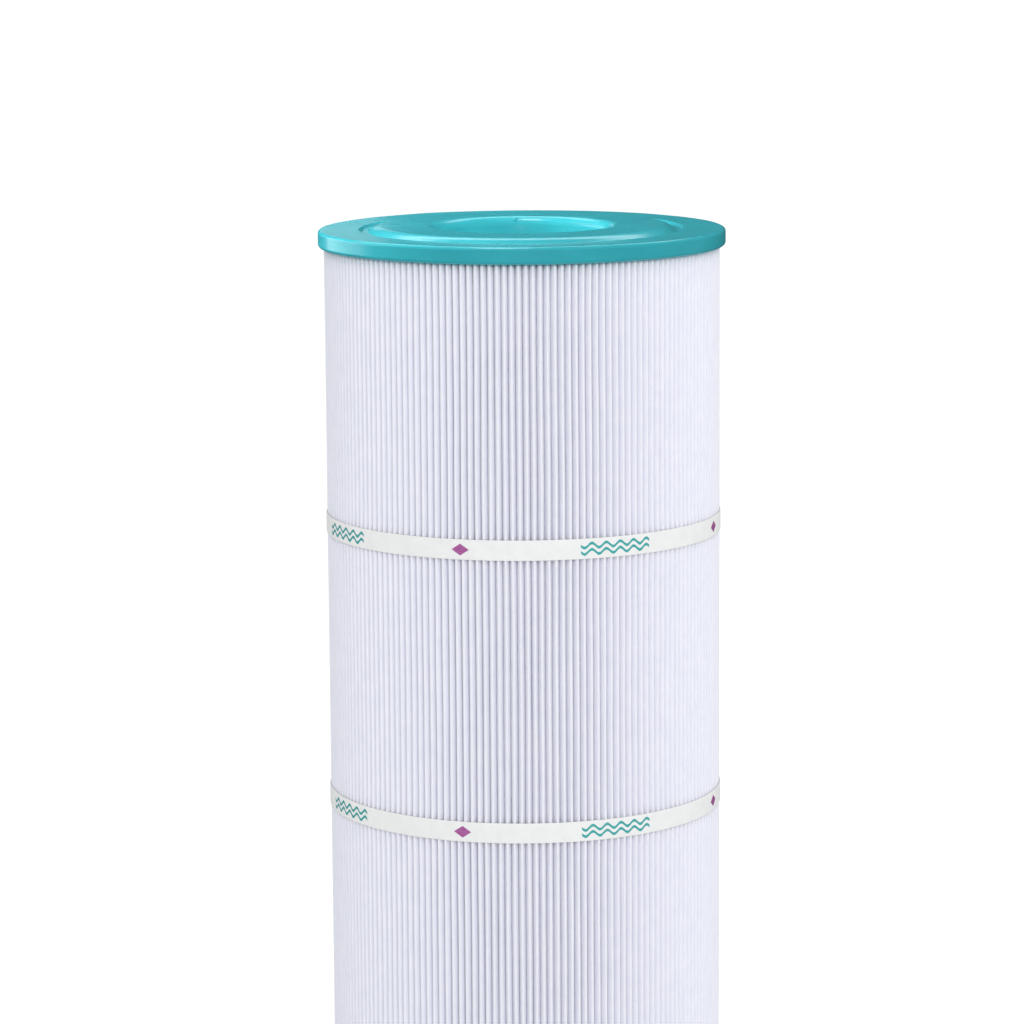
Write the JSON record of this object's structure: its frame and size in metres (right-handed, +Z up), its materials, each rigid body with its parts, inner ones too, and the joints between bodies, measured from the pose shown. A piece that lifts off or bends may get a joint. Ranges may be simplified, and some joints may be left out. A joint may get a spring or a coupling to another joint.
{
  "type": "pool filter cartridge",
  "caption": "Tall cylindrical pool filter cartridge: pleated white fabric round a moulded core, ribbon bands, and teal cast end caps with a round opening through the middle.",
  "frame": {"origin": "centre of the lower seat ring's flat face, which is the plane the cartridge stands on", "axes": "+Z up along the cartridge's axis, -Y towards the front, the fabric's side seam at +Y"},
  "size_m": [0.1778, 0.1778, 0.5032],
  "materials": {
    "cast_urethane": "satin",
    "filter_fabric": "matte",
    "core_plastic": "satin",
    "band_ribbon": "matte",
    "clear_adhesive": "gloss"
  },
  "bodies": {
    "root": {"upper_end_cap": "cast_urethane", "lower_end_cap": "cast_urethane", "pleated_fabric": "filter_fabric", "side_seam_adhesive": "clear_adhesive", "core_section_1_bottom": "core_plastic", "core_section_2": "core_plastic", "core_section_3": "core_plastic", "core_section_4_top": "core_plastic", "upper_band": "band_ribbon", "middle_band": "band_ribbon", "lower_band": "band_ribbon", "upper_band_adhesive": "clear_adhesive", "middle_band_adhesive": "clear_adhesive", "lower_band_adhesive": "clear_adhesive"}
  },
  "joints": []
}
